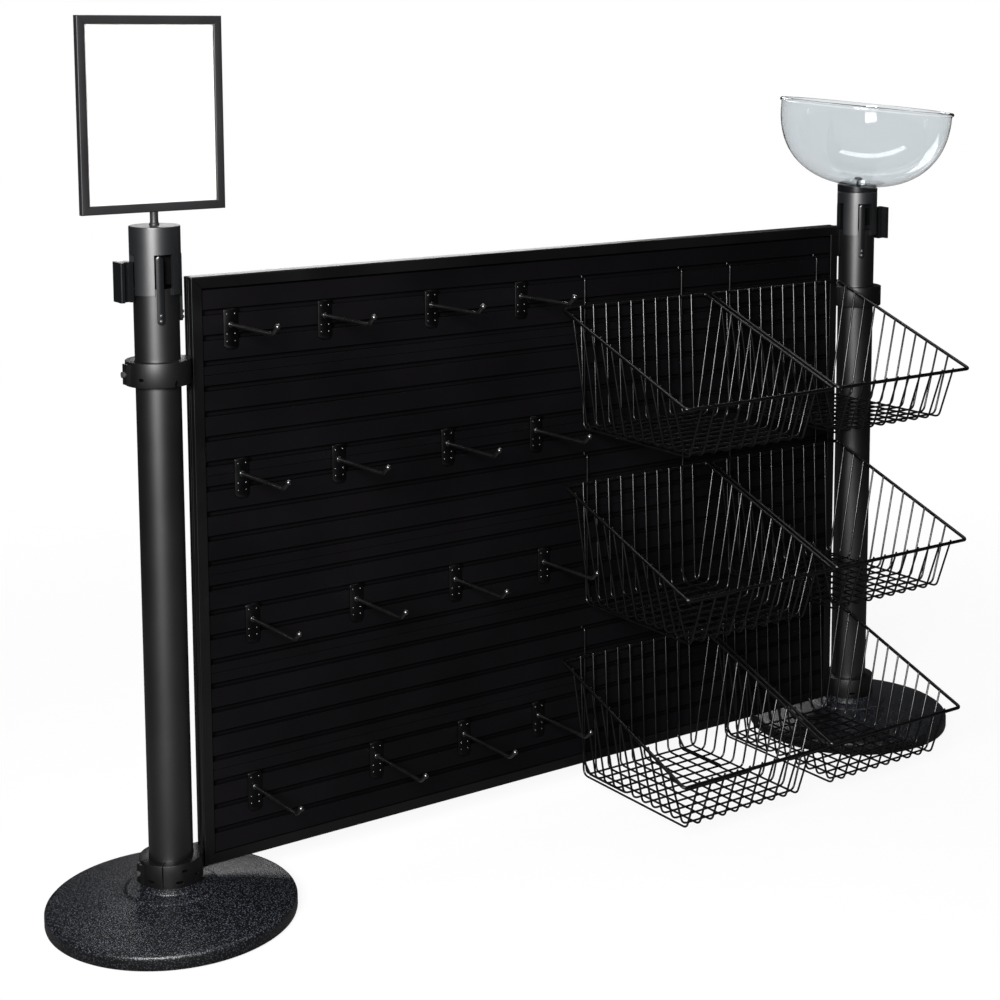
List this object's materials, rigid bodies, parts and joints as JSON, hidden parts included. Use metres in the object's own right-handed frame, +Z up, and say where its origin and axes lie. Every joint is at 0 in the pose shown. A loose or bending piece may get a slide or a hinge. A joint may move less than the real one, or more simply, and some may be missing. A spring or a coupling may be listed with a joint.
{
  "type": "slatwall panel",
  "caption": "Free-standing black slatwall panel clamped between two retractable-belt barrier posts, with display hooks, wire baskets, a sign holder and a clear bowl.",
  "frame": {"origin": "On the floor at the middle of the bounding box, midway between the two posts.", "axes": "+X along the panel from the sign post to the bowl post, +Y from the shopping side to the back, +Z up"},
  "size_m": [1.788, 0.528, 1.3505],
  "materials": {
    "post_black": "satin black powder coat with a fine texture",
    "base_iron": "hammered blue-black coat on a weighted steel cover",
    "foot_rubber": "moulded black rubber",
    "head_plastic": "moulded black plastic",
    "dark_screws": "black oxide screws",
    "belt_fabric": "tight woven black polyester belt",
    "frame_black": "satin black extruded frame",
    "slat_black": "extruded charcoal slats with a slight sheen",
    "wire_black": "glossy black coated wire",
    "sign_grey": "dark grey satin sign frame",
    "sign_card": "blank white card",
    "clear_plastic": "clear acrylic"
  },
  "bodies": {
    "root": {"base_foot_rings": "foot_rubber", "base_left": "base_iron", "base_right": "base_iron", "belt_reels": "belt_fabric", "clamp_screws": "dark_screws", "frame_bottom": "frame_black", "frame_left": "frame_black", "frame_right": "frame_black", "frame_top": "frame_black", "lower_clamp_left": "post_black", "lower_clamp_right": "post_black", "post_head_left": "post_black", "post_head_right": "post_black", "post_tube_left": "post_black", "post_tube_right": "post_black", "receiver_screws": "dark_screws", "receiver_strips_left": "head_plastic", "receiver_strips_right": "head_plastic", "slat_plank_1": "slat_black", "slat_plank_2": "slat_black", "slat_plank_3": "slat_black", "slat_plank_4": "slat_black", "slat_plank_5": "slat_black", "slat_plank_6": "slat_black", "upper_clamp_left": "post_black", "upper_clamp_right": "post_black"},
    "hook_row1_1_body": {"hook_row1_1": "wire_black"},
    "hook_row1_2_body": {"hook_row1_2": "wire_black"},
    "hook_row1_3_body": {"hook_row1_3": "wire_black"},
    "hook_row1_4_body": {"hook_row1_4": "wire_black"},
    "hook_row2_1_body": {"hook_row2_1": "wire_black"},
    "hook_row2_2_body": {"hook_row2_2": "wire_black"},
    "hook_row2_3_body": {"hook_row2_3": "wire_black"},
    "hook_row2_4_body": {"hook_row2_4": "wire_black"},
    "hook_row3_1_body": {"hook_row3_1": "wire_black"},
    "hook_row3_2_body": {"hook_row3_2": "wire_black"},
    "hook_row3_3_body": {"hook_row3_3": "wire_black"},
    "hook_row3_4_body": {"hook_row3_4": "wire_black"},
    "hook_row4_1_body": {"hook_row4_1": "wire_black"},
    "hook_row4_2_body": {"hook_row4_2": "wire_black"},
    "hook_row4_3_body": {"hook_row4_3": "wire_black"},
    "hook_row4_4_body": {"hook_row4_4": "wire_black"},
    "basket_row1_left_body": {"basket_row1_left": "wire_black"},
    "basket_row1_right_body": {"basket_row1_right": "wire_black"},
    "basket_row2_left_body": {"basket_row2_left": "wire_black"},
    "basket_row2_right_body": {"basket_row2_right": "wire_black"},
    "basket_row3_left_body": {"basket_row3_left": "wire_black"},
    "basket_row3_right_body": {"basket_row3_right": "wire_black"},
    "sign_body": {"sign_cover_sheet": "clear_plastic", "sign_frame": "sign_grey", "sign_insert": "sign_card", "sign_stem": "sign_grey"},
    "bowl_body": {"bowl": "clear_plastic", "bowl_screw": "dark_screws", "bowl_washer": "clear_plastic", "bowl_wedge": "head_plastic"},
    "belt_left_body": {"belt_clip_left": "head_plastic", "belt_webbing_left": "belt_fabric"},
    "belt_right_body": {"belt_clip_right": "head_plastic", "belt_webbing_right": "belt_fabric"}
  },
  "joints": [
    {"name": "hook_row1_1_slide", "type": "slide", "parent": "root", "child": "hook_row1_1_body", "axis": [1, 0, 0], "range_m": [-0.015, 0.015]},
    {"name": "hook_row1_2_slide", "type": "slide", "parent": "root", "child": "hook_row1_2_body", "axis": [1, 0, 0], "range_m": [-0.015, 0.015]},
    {"name": "hook_row1_3_slide", "type": "slide", "parent": "root", "child": "hook_row1_3_body", "axis": [1, 0, 0], "range_m": [-0.015, 0.015]},
    {"name": "hook_row1_4_slide", "type": "slide", "parent": "root", "child": "hook_row1_4_body", "axis": [1, 0, 0], "range_m": [-0.015, 0.015]},
    {"name": "hook_row2_1_slide", "type": "slide", "parent": "root", "child": "hook_row2_1_body", "axis": [1, 0, 0], "range_m": [-0.015, 0.015]},
    {"name": "hook_row2_2_slide", "type": "slide", "parent": "root", "child": "hook_row2_2_body", "axis": [1, 0, 0], "range_m": [-0.015, 0.015]},
    {"name": "hook_row2_3_slide", "type": "slide", "parent": "root", "child": "hook_row2_3_body", "axis": [1, 0, 0], "range_m": [-0.015, 0.015]},
    {"name": "hook_row2_4_slide", "type": "slide", "parent": "root", "child": "hook_row2_4_body", "axis": [1, 0, 0], "range_m": [-0.015, 0.015]},
    {"name": "hook_row3_1_slide", "type": "slide", "parent": "root", "child": "hook_row3_1_body", "axis": [1, 0, 0], "range_m": [-0.015, 0.015]},
    {"name": "hook_row3_2_slide", "type": "slide", "parent": "root", "child": "hook_row3_2_body", "axis": [1, 0, 0], "range_m": [-0.015, 0.015]},
    {"name": "hook_row3_3_slide", "type": "slide", "parent": "root", "child": "hook_row3_3_body", "axis": [1, 0, 0], "range_m": [-0.015, 0.015]},
    {"name": "hook_row3_4_slide", "type": "slide", "parent": "root", "child": "hook_row3_4_body", "axis": [1, 0, 0], "range_m": [-0.015, 0.015]},
    {"name": "hook_row4_1_slide", "type": "slide", "parent": "root", "child": "hook_row4_1_body", "axis": [1, 0, 0], "range_m": [-0.015, 0.015]},
    {"name": "hook_row4_2_slide", "type": "slide", "parent": "root", "child": "hook_row4_2_body", "axis": [1, 0, 0], "range_m": [-0.015, 0.015]},
    {"name": "hook_row4_3_slide", "type": "slide", "parent": "root", "child": "hook_row4_3_body", "axis": [1, 0, 0], "range_m": [-0.015, 0.015]},
    {"name": "hook_row4_4_slide", "type": "slide", "parent": "root", "child": "hook_row4_4_body", "axis": [1, 0, 0], "range_m": [-0.015, 0.015]},
    {"name": "basket_row1_left_tilt", "type": "hinge", "parent": "root", "child": "basket_row1_left_body", "pos_m": [0.1715, 0.074, 0.92], "axis": [-1, 0, 0], "range_deg": [0, 20]},
    {"name": "basket_row1_right_tilt", "type": "hinge", "parent": "root", "child": "basket_row1_right_body", "pos_m": [0.494, 0.074, 0.92], "axis": [-1, 0, 0], "range_deg": [0, 20]},
    {"name": "basket_row2_left_tilt", "type": "hinge", "parent": "root", "child": "basket_row2_left_body", "pos_m": [0.1775, 0.074, 0.6152], "axis": [-1, 0, 0], "range_deg": [0, 20]},
    {"name": "basket_row2_right_tilt", "type": "hinge", "parent": "root", "child": "basket_row2_right_body", "pos_m": [0.499, 0.074, 0.6152], "axis": [-1, 0, 0], "range_deg": [0, 20]},
    {"name": "basket_row3_left_tilt", "type": "hinge", "parent": "root", "child": "basket_row3_left_body", "pos_m": [0.1725, 0.074, 0.3104], "axis": [-1, 0, 0], "range_deg": [0, 20]},
    {"name": "basket_row3_right_tilt", "type": "hinge", "parent": "root", "child": "basket_row3_right_body", "pos_m": [0.495, 0.074, 0.3104], "axis": [-1, 0, 0], "range_deg": [0, 20]},
    {"name": "sign_swivel", "type": "hinge", "parent": "root", "child": "sign_body", "pos_m": [-0.706, 0.076, 1.05], "axis": [0, 0, 1], "continuous": true},
    {"name": "bowl_swivel", "type": "hinge", "parent": "root", "child": "bowl_body", "pos_m": [0.706, 0.076, 1.031], "axis": [0, 0, 1], "continuous": true},
    {"name": "belt_left_pull", "type": "slide", "parent": "root", "child": "belt_left_body", "axis": [-1, 0, 0], "range_m": [0, 0.02]},
    {"name": "belt_right_pull", "type": "slide", "parent": "root", "child": "belt_right_body", "axis": [0.9659, -0.2588, 0], "range_m": [0, 0.02]}
  ]
}
